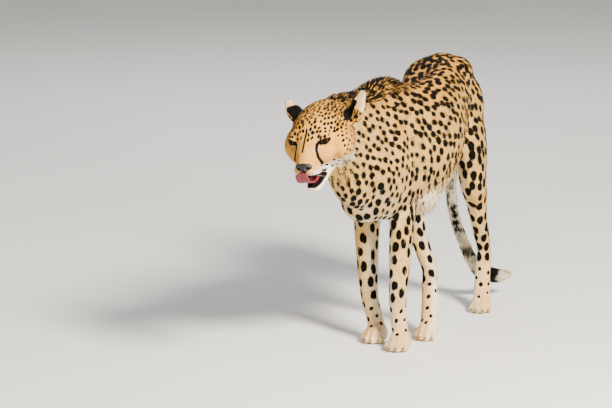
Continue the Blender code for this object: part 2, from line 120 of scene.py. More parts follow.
# ---- small tools ----
def ramp(value, start, end):
    """0 at start, 1 at end, smooth between them; start may be the larger."""
    t = np.clip((value - start) / (end - start), 0, 1)
    return t * t * (3 - 2 * t)


def bump(distance, radius):
    """1 at no distance, falling smoothly to 0 at the radius."""
    return ramp(distance, radius, 0)


def unit(vectors):
    return vectors / np.maximum(norm(vectors, axis=-1, keepdims=True), 1e-9)


def in_head(points):
    """Points in the head's own axes."""
    inverse = np.array(HEAD.inverted())
    return points @ inverse[:3, :3].T + inverse[:3, 3]


def from_head(points):
    matrix = np.array(HEAD)
    return np.asarray(points, float) @ matrix[:3, :3].T + matrix[:3, 3]


def line_distance(points, line):
    """How far points lie from a line through several places."""
    line = np.asarray(line, float)
    best = np.full(len(points), 1e9)
    for a, b in zip(line, line[1:]):
        along = b - a
        t = np.clip((points - a) @ along / (along @ along), 0, 1)
        best = np.minimum(best, norm(points - a - t[:, None] * along, axis=1))
    return best


def smoothed(values, edges, amount, rounds):
    """Each value drawn towards the mean of its neighbours; amount may differ from point to point."""
    shape = np.shape(values)
    values = np.array(values, float).reshape(len(values), -1)
    amount = np.broadcast_to(amount, len(values))[:, None]
    count = np.maximum(np.bincount(edges.ravel(), minlength=len(values)), 1)[:, None]
    for _ in range(rounds):
        total = np.stack([np.bincount(edges[:, 0], column[edges[:, 1]], len(values))
                          + np.bincount(edges[:, 1], column[edges[:, 0]], len(values))
                          for column in values.T], axis=1)
        values += amount * (total / count - values)
    return values.reshape(shape)


def corner_normals(points, faces):
    """Normals of the points of a mesh of triangles or quads."""
    a, b, c, last = (points[faces[:, k]] for k in (0, 1, 2, -1))
    weight = np.cross(c - a, last - b)
    total = np.zeros_like(points)
    for corner in range(faces.shape[1]):
        for axis in range(3):
            total[:, axis] += np.bincount(faces[:, corner], weight[:, axis], len(points))
    return unit(total)


def ring_angles(around):
    return 2 * np.pi * np.arange(around) / around


def mesh_edges(faces):
    pairs = np.concatenate([faces[:, [i, (i + 1) % faces.shape[1]]] for i in range(faces.shape[1])])
    return np.unique(np.sort(pairs, axis=1), axis=0)


def add_object(name, data):
    obj = bpy.data.objects.new(name, data)
    bpy.context.scene.collection.objects.link(obj)
    return obj


def write_mesh(name, points, faces):
    """A smooth mesh object from arrays; faces all have the same number of corners."""
    mesh = bpy.data.meshes.new(name)
    mesh.vertices.add(len(points))
    mesh.vertices.foreach_set("co", np.ascontiguousarray(points, np.float32).ravel())
    mesh.loops.add(faces.size)
    mesh.loops.foreach_set("vertex_index", np.ascontiguousarray(faces, np.int32).ravel())
    mesh.polygons.add(len(faces))
    mesh.polygons.foreach_set("loop_start", np.arange(0, faces.size, faces.shape[1], dtype=np.int32))
    mesh.update(calc_edges=True)
    mesh.polygons.foreach_set("use_smooth", np.ones(len(faces), bool))
    return add_object(name, mesh)


def add_values(obj, values):
    """Numbers kept on the points of a mesh, for its material."""
    for name, numbers in values.items():
        layer = obj.data.attributes.new(name, "FLOAT", "POINT")
        layer.data.foreach_set("value", np.ascontiguousarray(numbers, np.float32))


def modified(obj, sides):
    """Points and faces of an object with its modifiers applied; the object is removed."""
    mesh = bpy.data.meshes.new_from_object(obj.evaluated_get(bpy.context.evaluated_depsgraph_get()))
    bpy.data.objects.remove(obj)
    points = np.empty(len(mesh.vertices) * 3, np.float32)
    mesh.vertices.foreach_get("co", points)
    faces = np.empty(len(mesh.loops), np.int32)
    mesh.loops.foreach_get("vertex_index", faces)
    return points.reshape(-1, 3).astype(float), faces.reshape(-1, sides)


# ---- the flesh as one surface ----
def flesh_soup():
    """A search tree over the triangles of every flesh solid, the index of the node that each belongs
    to, and a mesh of the solids grown a little, with the eyeballs in their sockets."""
    points, faces, owner = [], [], []
    grown = bmesh.new()
    for index, name in enumerate(FLESH):
        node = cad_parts[name]
        part = bmesh.new()
        part.from_mesh(node.data)
        part.transform(node.matrix_world)
        bmesh.ops.remove_doubles(part, verts=part.verts, dist=1e-5)
        bmesh.ops.triangulate(part, faces=part.faces)
        part.normal_update()
        part.verts.index_update()
        base = len(points)
        points += [v.co.copy() for v in part.verts]
        faces += [[base + v.index for v in f.verts] for f in part.faces]
        owner += [index] * len(part.faces)
        for vertex in part.verts:
            vertex.co += vertex.normal * GROW
        mesh = bpy.data.meshes.new(name)
        part.to_mesh(mesh)
        part.free()
        grown.from_mesh(mesh)
        bpy.data.meshes.remove(mesh)
    for centre in EYE_AT.values():
        bmesh.ops.create_uvsphere(grown, u_segments=48, v_segments=32, radius=EYE_RADIUS * 1.04,
                                  matrix=Matrix.Translation(centre))
    mesh = bpy.data.meshes.new("grown")
    grown.to_mesh(mesh)
    grown.free()
    return BVHTree.FromPolygons(points, faces), np.array(owner), mesh


SOLID, OWNER, GROWN = flesh_soup()


def solid_facts(points):
    """Signed height over the solids (more than 0 is outside) and the index of the nearest node."""
    height = np.empty(len(points))
    label = np.empty(len(points), int)
    for i, point in enumerate(points):
        place, normal, face, distance = SOLID.find_nearest(point)
        outside = normal.dot(Vector(point) - place) > 0
        height[i] = distance if outside else -distance
        label[i] = OWNER[face]
    return height, label


def is_node(label, *names):
    return np.isin(label, [FLESH.index(name) for name in names])


def give(values, label, rows):
    """Give each row's value to the points on the row's nodes."""
    for nodes, value in rows:
        values[is_node(label, *nodes)] = value


def fused_flesh():
    """The flesh as one closed surface of quads."""
    obj = add_object("flesh", GROWN)
    fuse = obj.modifiers.new("fuse", "REMESH")
    fuse.mode = "VOXEL"
    fuse.voxel_size = VOXEL
    return modified(obj, 4)


# ---- coat depth, length and lie ----
def centre_at(name, values, axis=2):
    """The two other coordinates of a chain's line, at given values of the one along an axis."""
    chain = CHAINS[name] if axis == 1 else CHAINS[name][::-1]
    others = [k for k in range(3) if k != axis]
    return np.stack([np.interp(values, chain[:, axis], chain[:, k]) for k in others], axis=1)


FRINGE_AT = (.028, .185, .388)        # the long white hair that hangs behind the left elbow
FRINGE_REACH = (.06, .105, .055)


def masks(points, normals, label):
    """Where the special stretches of coat are, each from 0 to 1, and the points in the axes of the
    places listed above ("work") and of the head."""
    head = in_head(points)
    work = points - SHIFT
    y, z = work[:, 1], work[:, 2]
    up = normals[:, 2]
    trunk = is_node(label, "chest", "loin_and_rump", "neck")
    off_middle = np.abs(points[:, 0] - centre_at("spine", points[:, 1], 1)[:, 0])
    from_cheek = norm((head - (0, -.075, -.055)) * (.75, 1, 1), axis=1)
    return {
        "work": work, "head": head,
        "nape": trunk * ramp(up, .5, .92) * ramp(y, .16, .06) * ramp(z, .66, .72),
        "belly": trunk * ramp(up, -.15, -.75) * ramp(y, .06, .14) * ramp(y, .46, .38)
        * ramp(off_middle, .1, .07) * ramp(z, .56, .5),
        "fringe": trunk * bump(norm((work - FRINGE_AT) / FRINGE_REACH, axis=1), 1.0),
        "throat": trunk * ramp(y, -.16, -.27) * ramp(up, .1, -.5),
        "cheek": is_node(label, *SKULL, "neck") * bump(from_cheek, .085)
        * ramp(np.abs(head[:, 0]), .03, .055),
        "face": is_node(label, *SKULL) * ramp(head[:, 1], -.06, .000),
        "thigh_back": is_node(label, "loin_and_rump", *HIND_LEGS) * ramp(normals[:, 1], .3, .8)
        * ramp(z, .16, .26),
        "under_tail": is_node(label, *TAIL_NODES) * ramp(normals[:, 1], .1, -.6)}


def coat_length(points, normals, label):
    """How long the coat is, in metres."""
    m = masks(points, normals, label)
    length = np.full(len(points), .011)
    give(length, label, ((LEGS, .009), (PAWS, .006), (SKULL, .009), (EARS, .007),
                         (["tail_upper"], .013), (["tail_tip"], .021)))
    length += (.004 - length) * m["face"]
    length += .024 * m["nape"] + .028 * m["belly"] + .005 * m["throat"] + .007 * m["cheek"] \
        + .004 * m["thigh_back"] + .01 * m["under_tail"]
    return np.maximum(length, .055 * np.minimum(1, 1.6 * m["fringe"]))


def coat_depth(points, normals, label):
    """How far under the solids' surface the skin lies."""
    depth = np.minimum(.24 * coat_length(points, normals, label) + .0003, .0055)
    return np.where(is_node(label, *EARS), .0026, depth)


def lie(points, label):
    """Unit directions, the way the coat lies before it is laid along the surface."""
    work = points - SHIFT
    low_body = ramp(work[:, 2], .6, .44)[:, None]
    way = np.array((0.0, .9, -.38)) * (1 - low_body) + np.array((0, .45, -.9)) * low_body
    for node, muzzle in (("head", (0, .1, -.04)), ("lower_jaw", (.008, .08, -.085))):
        on = is_node(label, node)
        way[on] = unit(points[on] - from_head(muzzle))
    for side, name in zip((1, -1), EARS):
        way[is_node(label, name)] = unit(turn_vector((side * .55, -.3, .75)))
    step = .004
    for name, nodes in LIMB_NODES.items():
        on = is_node(label, *nodes)
        along = centre_at(name, points[on, 2] - step) - centre_at(name, points[on, 2] + step)
        way[on] = np.column_stack([along, np.full(on.sum(), -2 * step)])
    way[is_node(label, "tail_tip") & (work[:, 2] < .12)] = (.6, .78, -.05)
    for paw, leg in PAWS.items():
        way[is_node(label, paw)] = np.array(HEADINGS[leg]) + (0, 0, -.8)
    return unit(way)


def turn_vector(way):
    return np.array(TURN.to_3x3() @ Vector(way))


def along_surface(way, normals):
    return unit(way - normals * np.sum(way * normals, axis=1, keepdims=True))


# ---- sculpting ----
BODY_CREASES = [  # a line on the body, half width, depth
    ([(.06, .11, .64), (.066, .15, .56), (.062, .18, .47), (.04, .19, .4)], .022, .007),
    ([(.05, -.045, .64), (.052, -.06, .56), (.02, -.095, .48)], .02, .004),
    ([(.09, .43, .64), (.086, .44, .56), (.08, .465, .47)], .022, .006)]
HEAD_STROKES = [  # part, place, reach and push in the head's axes; on both sides where x is not 0
    ("head", (.056, .006, .004), (.01, .016, .008), (-.0025, -.0015, 0)),    # outer corner of the eye
    ("head", (.033, .01, .024), (.018, .02, .008), (.0004, .0022, .0012)),  # brow
    ("head", (.024, .035, -.03), (.008, .02, .012), (-.0032, 0, 0)),        # side of the nose
    ("head", (.019, .06, -.056), (.012, .014, .011), (.0016, .0022, -.0005)),  # whisker pad
    ("head", (.028, .04, -.072), (.011, .02, .007), (.001, 0, -.0042)),    # lip over the gap
    ("head", (.033, .01, -.07), (.011, .018, .008), (.0005, 0, -.006)),
    ("head", (0, .074, -.062), (.003, .012, .011), (0, -.003, 0)),            # groove under the nose
    ("head", (0, .015, .02), (.008, .025, .018), (0, -.0006, -.0014)),        # forehead's furrow
    ("lower_jaw", (.03, .005, -.086), (.013, .024, .009), (0, 0, .004)),    # lower lip, raised
    ("lower_jaw", (.025, .035, -.093), (.008, .017, .007), (0, 0, .0026))]


def paw_axes(leg):
    """Ahead and sideways at a leg's paw."""
    ahead = unit(np.array(HEADINGS[leg], float))
    return ahead, np.array((-ahead[1], ahead[0], 0))


def toe_grooves():
    """Lines between the toes of every paw, from their tips back to the instep."""
    lines = []
    for leg in PAWS.values():
        ahead, side = paw_axes(leg)
        paw = CHAINS[leg][-1] * (1, 1, 0)
        for across in (-.018, 0, .018):
            lines.append([paw + side * across + ahead * reach + (0, 0, height)
                          for reach, height in ((.062, .006), (.052, .028), (.026, .046))])
    return lines


def sculpted(points, normals, label):
    """Furrows of the muscles and paws, and the modelling of the face."""
    head = in_head(points)
    move = np.zeros_like(points)
    near = norm(head, axis=1) < .22
    matrix = np.array(HEAD)[:3, :3]
    for part, centre, reach, push in HEAD_STROKES:
        here = near & is_node(label, part)
        for side in ((-1, 1) if centre[0] else (1,)):
            across = (side, 1, 1)
            weight = bump(norm((head - np.multiply(centre, across)) / reach, axis=1), 1.6) * here
            move += weight[:, None] * (matrix @ np.multiply(push, across))
    for line, width, depth in BODY_CREASES:
        weight = np.exp(-(line_distance(points, np.array(line) + SHIFT) / width) ** 2)
        move -= normals * (weight * depth)[:, None]
    low = points[:, 2] < .08
    for line in toe_grooves():
        weight = np.exp(-(line_distance(points[low], line) / .0042) ** 2)
        move[low] -= normals[low] * (weight * .0036)[:, None]
    return points + move


# ---- eyelids ----
OPENING = (math.radians(53), math.radians(14))    # half width and half height of the gap of the lids
LID_REACH = math.radians(34)                      # from the gap's edge to where the lid meets the skin


def eye_axes(side):
    """Ahead, outward and up at an eye, as unit vectors."""
    ahead = unit(turn_vector((side * .44, .89, .06)))
    outward = turn_vector((side * 1.0, 0.0, .16))
    outward = unit(outward - ahead * (outward @ ahead))
    up = unit(np.cross(ahead, outward)) * (1 if np.cross(ahead, outward)[2] > 0 else -1)
    return ahead, outward, up


def from_sight(side, angle, theta):
    """Unit directions at an angle to an eye's line of sight, turned by theta from outward to up."""
    ahead, outward, up = eye_axes(side)
    return np.cos(angle)[:, None] * ahead + np.sin(angle)[:, None] * (
        np.cos(theta)[:, None] * outward + np.sin(theta)[:, None] * up)


def opening_edge(theta):
    """Angle from the line of sight to the lids' edge; theta runs from outward towards up."""
    power = 1.5           # 2 would make an ellipse, 1 a diamond
    wide, tall = np.abs(np.cos(theta)) / OPENING[0], np.abs(np.sin(theta)) / OPENING[1]
    return (wide ** power + tall ** power) ** (-1 / power)


def past_lids(points, side):
    """How far places lie past the lids' edge, as an angle at the eye's centre, their distance from
    that centre, and their angle round the line of sight."""
    ahead, outward, up = eye_axes(side)
    offset = points - EYE_AT[side]
    distance = norm(offset, axis=1)
    angle = np.arccos(np.clip(offset @ ahead / distance, -1, 1))
    theta = np.arctan2(offset @ up, offset @ outward)
    return angle - opening_edge(theta), distance, theta


def over_eyes(points, edges):
    """The skin laid over each eyeball, and hollowed under the gap of the lids."""
    for side in (-1, 1):
        centre = EYE_AT[side]
        for rounds in (5, 3, 0):
            beyond, distance = past_lids(points, side)[:2]
            closed = ramp(beyond, math.radians(3), math.radians(11))
            over = np.maximum(distance, 1.05 * EYE_RADIUS)
            under = np.minimum(distance, .86 * EYE_RADIUS)
            wanted = np.where(distance < 1.4 * EYE_RADIUS, under + (over - under) * closed, distance)
            points = centre + (points - centre) * (wanted / distance)[:, None]
            points = smoothed(points, edges, .5 * closed * (wanted < 1.5 * EYE_RADIUS), rounds)
    return points


def lid_mesh(side):
    """A closed shell over the eyeball with an almond gap, from the gap's edge out and back under."""
    around, steps = 48, 9
    theta = ring_angles(around)
    rows = [(share, 1.07 + .03 * math.sin(math.pi * share) - .125 * share ** 2)
            for share in np.linspace(0, 1, steps)]
    rows += [(share, 1.012 - .085 * share ** 2) for share in np.linspace(1, 0, steps)]
    gap = opening_edge(theta)
    points = [EYE_AT[side] + EYE_RADIUS * radius * from_sight(side, gap + LID_REACH * share, theta)
              for share, radius in rows]
    row, j = np.divmod(np.arange(len(rows) * around), around)
    low, high, k = row * around, (row + 1) % len(rows) * around, (j + 1) % around
    faces = np.stack([low + j, low + k, high + k, high + j], axis=1)[:, ::-side]
    return np.concatenate(points), np.concatenate([faces[:, [0, 1, 2]], faces[:, [0, 2, 3]]])


# ---- the skin ----
def make_skin():
    """Points and triangles of the skin, with its normals and nearest nodes."""
    points, faces = fused_flesh()
    edges = mesh_edges(faces)
    fine = is_node(solid_facts(points)[1], *SKULL, *EARS, *PAWS)
    loose = smoothed(np.where(fine, 0.0, 1.0), edges, .5, 12)
    points = smoothed(points, edges, .5, 5)
    points = smoothed(points, edges, .5 * loose, 110)
    normals = corner_normals(points, faces)
    height, label = solid_facts(points)
    wanted = smoothed(coat_depth(points, normals, label), edges, .5, 12)
    by_eye = sum(ramp(past_lids(points, side)[1], 1.45 * EYE_RADIUS, 1.1 * EYE_RADIUS) for side in (-1, 1))
    offset = smoothed((-wanted - height) * (1 - by_eye), edges, .5, 10)
    offset = smoothed(offset, edges, .5 * loose, 90)
    points += normals * offset[:, None]
    points = smoothed(points, edges, .5, 2)
    points = sculpted(points, corner_normals(points, faces), label)
    points = over_eyes(smoothed(points, edges, .5, 1), edges)
    obj = write_mesh("dense", points, faces)
    group = obj.vertex_groups.new(name="thin")
    for some, weight in ((fine, .9), (~fine, 1.0)):
        group.add([int(i) for i in np.nonzero(some)[0]], weight, "REPLACE")
    thin = obj.modifiers.new("thin", "DECIMATE")
    thin.ratio = SKIN_TRIANGLES / (2 * len(faces))
    thin.vertex_group = "thin"
    thin.use_collapse_triangulate = True
    points, faces = modified(obj, 3)
    for side in (-1, 1):
        lid_points, lid_faces = lid_mesh(side)
        faces = np.concatenate([faces, lid_faces + len(points)])
        points = np.concatenate([points, lid_points])
    return points, faces, corner_normals(points, faces), solid_facts(points)[1]


# ---- markings ----
def spot_plan(points, normals, label):
    """Spacing across the coat, half length and half width of the spots at each point, in metres."""
    m = masks(points, normals, label)
    y, z = m["work"][:, 1], m["work"][:, 2]
    plan = np.tile((.0192, .0096, .0082), (len(points), 1))
    stretches = [   # how much of the plan is this stretch's own, and its plan
        (ramp(y, -.04, .12), (.0208, .0112, .0094)),
        (is_node(label, "chest", "neck") * ramp(normals[:, 1], -.3, -.65) * ramp(z, .6, .5),
         (.023, .0138, .0114)),
        (is_node(label, "loin_and_rump") * ramp(y, .36, .46), (.0212, .0132, .0111)),
        (is_node(label, "chest", "loin_and_rump") * ramp(normals[:, 2], .2, .6),
         (.0168, .0134, .0096)),
        (is_node(label, "neck") * ramp(m["head"][:, 1], -.175, -.125), (.015, .007, .006))]
    for share, values in stretches:
        plan += share[:, None] * (np.array(values) - plan)
    give(plan, label, ((LEGS, (.0228, .0134, .0099)), (HIND_LEGS, (.023, .0138, .011)),
                       (PAWS, (.023, .0068, .0056)), (["tail_upper"], (.023, .0105, .008)),
                       (["tail_tip"], (.02, .012, .012)), (SKULL, (.0116, .0046, .0036))))
    crown = is_node(label, "head") & (m["head"][:, 2] > .012)
    plan[crown] = (.0084, .0058, .004)
    return plan


def place_spots(points, normals, label, way):
    """Spots dealt over the skin, none nearer to another than the spacing there."""
    plan = spot_plan(points, normals, label)
    m = masks(points, normals, label)
    x, y, z = m["head"].T
    on_face = is_node(label, *SKULL)
    bare = on_face & (y > -.012) & (z < .012)
    bare |= on_face & (np.abs(x + .003) < .007) & (y > 0) & (z < .042)      # no spots on the forehead's painted shadow streak
    bare |= is_node(label, *EARS)
    bare |= is_node(label, *PAWS) & (m["work"][:, 2] < .045)
    slack = 1 - (plan[:, 2] / plan[:, 1]) ** 2        # spots lie further apart along the coat
    taken = np.empty((0, 3))
    chosen = []
    for i in RNG.permutation(np.nonzero(~bare)[0])[:SPOT_TRIES]:
        offset = taken - points[i]
        apart = np.sum(offset ** 2, axis=1) - slack[i] * (offset @ way[i]) ** 2
        if not chosen or np.min(apart) >= plan[i, 0] ** 2:
            chosen.append(i)
            taken = points[chosen]
    count = len(chosen)
    size = plan[chosen, 1:] * RNG.uniform(.86, 1.06, (count, 1)) * RNG.uniform(.96, 1.04, (count, 2))
    slant = RNG.normal(0, .18, count)[:, None]
    across = np.cross(normals[chosen], way[chosen])
    long = way[chosen] * np.cos(slant) + across * np.sin(slant)
    return {"place": taken, "normal": normals[chosen], "long": long, "size": size}


SPOT_TRIES = 60000        # places tried for spots, far more than there is room for
SPOT_EDGE = .25           # strength of a lone spot at its edge
SPOT_WOBBLE = .0011       # how far a spot's outline wanders
SPOT_HEIGHT = .03         # how far a spot reaches off the surface, into the tufts
SPOT_FADE = 1.5           # 1 fades out as a bell does, more has a sharper edge
EAR_FACES = {1: (.66, -.74, .1), -1: (-.95, -.25, .1)}     # the way that each ear's hollow faces
EAR_ENDS = {1: ((.075, -.094, .01), (.103, -.124, .067)),  # its root and its tip
            -1: ((-.062, -.086, .02), (-.089, -.103, .06))}


def spots_near(points, tree):
    """The few spots nearest to each point."""
    return np.array([[hit[1] for hit in tree.find_n(point, 6)] for point in points])


def spot_strength(points, spots, found):
    """Spots as soft blobs that run together only where they touch."""
    sharpness = 4         # the higher, the less two spots add up between them
    wobble = SPOT_WOBBLE * np.sin(points[:, [1, 2, 0]] * 310.0 + 2.0 * np.sin(points * 170.0))
    strength = np.zeros(len(points))
    for column in found.T:
        offset = points + wobble - spots["place"][column]
        long, normal, size = (spots[key][column] for key in ("long", "normal", "size"))
        along = np.sum(offset * long, axis=1) / size[:, 0]
        across = np.sum(offset * np.cross(normal, long), axis=1) / size[:, 1]
        up = np.sum(offset * normal, axis=1) / SPOT_HEIGHT
        spread_out = (along ** 2 + across ** 2 + up ** 2) ** SPOT_FADE
        strength += np.exp(sharpness * math.log(SPOT_EDGE) * spread_out)
    return strength ** (1 / sharpness)


# Lines on the face, in the head's axes. The tear line is the left one, from eye to mouth corner.
TEAR_LINE = [(.0265, .029, .0000), (.026, .037, -.01), (.03, .043, -.027), (.0345, .037, -.045),
             (.0345, .027, -.06), (.035, .013, -.07)]
UPPER_LIP = [(-.034, .018, -.07), (-.026, .046, -.072), (-.01, .066, -.069), (0, .07, -.066),
             (.01, .066, -.069), (.026, .046, -.072), (.034, .018, -.07)]
LOWER_LIP = [(-.018, .01, -.084), (-.01, .043, -.092), (-.003, .059, -.095), (.007, .064, -.096),
             (.016, .059, -.095), (.0225, .043, -.092), (.0255, .01, -.084)]
LOWER_MOUTH = ((-.01, .043, .059, .066), (.021, .0165, .01, .0))    # places along it, half widths there
NOSE = {"centre": (0, .0688, -.042), "half": (.0208, .0105, .0134)}


def pad_width(height):
    """How wide the nose pad is at a height of its ball, as a share of its widest."""
    return .56 + .44 * ramp(height, -.95, -.05)


def under_pad(head):
    """Whether the nose pad takes the place of coat at points given in the head's axes."""
    offset = (head - NOSE["centre"]) / (np.array(NOSE["half"]) * (.98, 1.25, .98))
    offset[:, 0] /= pad_width(offset[:, 2])
    return (norm(offset, axis=1) < 1.0) & (head[:, 1] > NOSE["centre"][1] - .004)


PALE_PATCHES = [  # centre on the left in the head's axes, reach, strength
    ((.042, .014, -.022), .014, .5), ((.02, .036, -.012), .011, .8), ((.022, .056, -.06), .018, .6)]


def inner_corner(side):
    """Where the lids meet beside the nose, in the head's axes."""
    ahead, outward = eye_axes(side)[:2]
    way = math.cos(OPENING[0]) * ahead - math.sin(OPENING[0]) * outward
    return in_head(EYE_AT[side] + 1.06 * EYE_RADIUS * way)


def face_marks(points, normals, label):
    """Pale coat, black marks with painted shade among them, bare black skin and the mouth's lining painted
    nearly black as its shade, on the head.
    """
    head = in_head(points)
    x, y, z = head.T
    up = (normals @ np.array(TURN.to_3x3()))[:, 2]
    on_head = is_node(label, *SKULL)
    on_jaw = is_node(label, "lower_jaw")
    lower = ramp(z, -.044, -.07) * ramp(np.abs(x), 0.0, .012)
    ruff = ramp(y, -.06, -.11) * ramp(z, -.02, -.05)
    pale = lower + ruff
    rim_and_lid_shade, tear_and_shade = np.zeros((2, len(points)))
    # The tear lines widen towards the mouth; the widening is partly painted shade beside the nose.
    half = .0038 + .0026 * ramp(z, -.035, -.062)
    for side in (-1, 1):
        mirror = (side, 1, 1)
        for centre, reach, amount in PALE_PATCHES:
            pale = pale + amount * bump(norm(head - np.multiply(centre, mirror), axis=1), reach)
        line = [inner_corner(side), *np.multiply(TEAR_LINE, mirror)]
        tear_and_shade = np.maximum(tear_and_shade, ramp(line_distance(head, line), half + .0008, half - .0008))
        beyond, distance, theta = past_lids(points, side)
        # Black lid rims; their width all round is partly painted shade of the heavy upper lid.
        edge = math.radians(12) + math.radians(22) * np.abs(np.cos(theta)) ** 10
        rim_and_lid_shade = np.maximum(rim_and_lid_shade, (distance < EYE_RADIUS * 1.3) * ramp(beyond, edge + math.radians(5), edge))
    lips = np.maximum(ramp(line_distance(head, UPPER_LIP), .005, .0034) * ~on_jaw,
                      ramp(line_distance(head, LOWER_LIP), .005, .0036) * on_jaw)
    # The mouth's lining, which the skin's material paints nearly black as the shade inside the mouth.
    mouth = on_head & (y > -.01) & (y < .068) & (z < -.062) & (z > -.1) & (np.abs(up) > .2) \
        & (np.abs(x) < .034)
    inside_lip = np.abs(x - .005) < np.interp(y, *LOWER_MOUTH)
    mouth &= np.where(on_jaw, (up > 0) & inside_lip, up < 0)
    # Painted shadow: a dark streak down the forehead, along the shaded side of the nose bridge.
    painted_shadow_streak = ramp(np.abs(x + .003 - .06 * z), .0034, .002) * (y > 0) * ramp(z, -.016, -.006) \
        * ramp(z, .038, .028)
    pale = np.where(on_jaw, 1.0, np.clip(pale, 0, 1))
    under_nose = under_pad(head)
    dark = np.maximum.reduce([tear_and_shade, rim_and_lid_shade, lips, painted_shadow_streak, under_nose]) * on_head
    bare = np.maximum.reduce([rim_and_lid_shade > .8, lips > .6, under_nose]) * on_head
    return pale, dark, bare, mouth


def markings(points, normals, label, spots, found):
    """Numbers for the materials, each from 0 to 1 or a little more: golden or pale coat, spots, black
    marks with some painted shade among them, the mouth's lining painted nearly black as shade, and where no
    coat grows."""
    m = masks(points, normals, label)
    head, work = m["head"], m["work"]
    y, z = work[:, 1], work[:, 2]
    on_head = is_node(label, *SKULL)
    spot = spot_strength(points, spots, found) * (1 - .5 * m["belly"]) * (1 - .8 * m["fringe"])
    gold = np.where(on_head, 1.0, ramp(normals[:, 2], 0.0, .9))
    pale = .9 * ramp(-normals[:, 2], .4, .95) * ramp(y, -.2, -.02) \
        + .25 * ramp(z, .54, .4) + m["fringe"]
    for name in LEGS:
        inward = -1 if name.endswith("left") else 1
        inner = ramp(normals[:, 0] * inward, 0.0, .8)
        pale = np.where(is_node(label, *LIMB_NODES[name]), .5 * inner + .3 * ramp(z, .4, .05), pale)
    face_pale, dark, bare, mouth = face_marks(points, normals, label)
    behind_jaw = is_node(label, "neck") * ramp(head[:, 1], -.165, -.125) \
        * ramp(head[:, 2], -.02, -.05) * ramp(head[:, 2], -.125, -.1)
    pale = np.where(on_head, face_pale, np.maximum(pale, behind_jaw))
    for side, name in zip((1, -1), EARS):
        on = is_node(label, name)
        root, tip = np.array(EAR_ENDS[side])
        share = (head - root) @ (tip - root) / np.sum((tip - root) ** 2)
        off_axis = head - root - share[:, None] * (tip - root)
        hollow = unit(np.array(EAR_FACES[side]))
        back = np.where(on, -(normals @ unit(turn_vector(hollow))), -(off_axis @ hollow) / .012)
        near = ramp(norm(off_axis, axis=1), .034, .026) * ramp(share, -.28, -.12) * (on | on_head)
        inner = off_axis @ unit(np.cross(hollow, tip - root)) if side > 0 else 1
        black = near * ramp(back, -.1, .25) * ramp(share, .72, .6) * ramp(inner, -.01, -.002)
        dark = np.where(on, black, np.maximum(dark, black))
        pale = np.where(on, .45 + .5 * ramp(back, .2, -.3),
                        np.maximum(pale, .8 * near * ramp(back, 0, -.6)))
    on_tip = is_node(label, "tail_tip")
    rings = ramp(np.sin(z * 95.0 + 1.2), .15, .45) * ramp(z, .26, .2)
    tuft = ramp(work[:, 0], .03, .05)
    dark = np.where(on_tip, np.maximum(rings * (1 - tuft), tuft * ramp(work[:, 0], .085, .06)), dark)
    return {"gold": gold, "pale": np.clip(np.maximum(pale, m["under_tail"]), 0, 1),
            "spot": np.where(on_tip, 0, spot), "dark": dark, "mouth": mouth,
            "bare": np.maximum(bare, mouth)}


# ---- tufts ----
def sample(points, faces, count):
    """Random places over the skin: which face each is on, and its share of the corners."""
    a, b, c = (points[faces[:, k]] for k in range(3))
    area = norm(np.cross(b - a, c - a), axis=1)
    face = RNG.choice(len(faces), count, p=area / area.sum())
    u, v = RNG.random(count), RNG.random(count)
    fold = u + v > 1
    u[fold], v[fold] = 1 - u[fold], 1 - v[fold]
    return face, np.stack([1 - u - v, u, v], axis=1)


def spread(points, cell):
    """Indices of points thinned to about one in each cell of its own size."""
    cell = np.round(cell, 5)
    kept = []
    for size in np.unique(cell):
        which = np.nonzero(cell == size)[0]
        key = np.floor(points[which] / size).astype(np.int64)
        packed = (key[:, 0] + 4096) * 8192 ** 2 + (key[:, 1] + 4096) * 8192 + key[:, 2] + 4096
        kept.append(which[np.unique(packed, return_index=True)[1]])
    return np.concatenate(kept)


def unwrap(points, label):
    """Place of each root on a flat map: round and along the body above, the limbs side by side below."""
    centre = centre_at("spine", points[:, 1], 1)
    angle = np.arctan2(points[:, 0] - centre[:, 0], points[:, 2] - centre[:, 1])
    along = (points[:, 1] - CAD_BOX[0][1]) / (CAD_BOX[1][1] - CAD_BOX[0][1])
    place = np.stack([.02 + .96 * (angle / (2 * np.pi) + .5), .42 + .56 * along], axis=1)
    for slot, (name, nodes) in enumerate(LIMB_NODES.items()):
        on = is_node(label, *nodes)
        axis = centre_at(name, points[on, 2])
        round_it = np.arctan2(points[on, 0] - axis[:, 0], points[on, 1] - axis[:, 1])
        place[on] = np.stack([.02 + .196 * slot + .17 * (round_it / (2 * np.pi) + .5),
                              .02 + .36 * points[on, 2] / .6], axis=1)
    return place


ROOT_TRIES = 1500000      # places tried for roots, before they are thinned
LONG_HAIR = .0175         # length from which a tuft is a bent lock
MOST_TUFTS = {False: 48000, True: 19000}      # in one piece, plain and bent
COAT_VALUES = ("gold", "pale", "spot", "dark")
PATCH = .003              # width of each tuft's patch on its map
ROOT_SINK = .06           # how deep a tuft is rooted, as a share of its length
TUFT_WIDTH = .17          # a tuft's width, as a share of its length
WIDTH_LIMITS = (.0008, .0024)
FLOOR_CLEARANCE = .0002   # how far the lowest tufts stay off the floor
TUFT_SHAPES = {  # plain and bent: faces, the points' places on their patch, their shares of the length
    False: ([(0, 2, 1), (0, 1, 3), (1, 2, 3), (2, 0, 3)], [(0, 0), (1, 0), (.5, .1), (.5, 1)], [0, 0, 0, 1]),
    True: ([(0, 2, 1), (0, 1, 4), (0, 4, 3), (1, 2, 5), (1, 5, 4), (2, 0, 3), (2, 3, 5), (3, 4, 6),
            (4, 5, 6), (5, 3, 6)],
           [(0, 0), (1, 0), (.5, .1), (.1, .5), (.9, .5), (.5, .6), (.5, 1)], [0, 0, 0, .5, .5, .5, 1])}


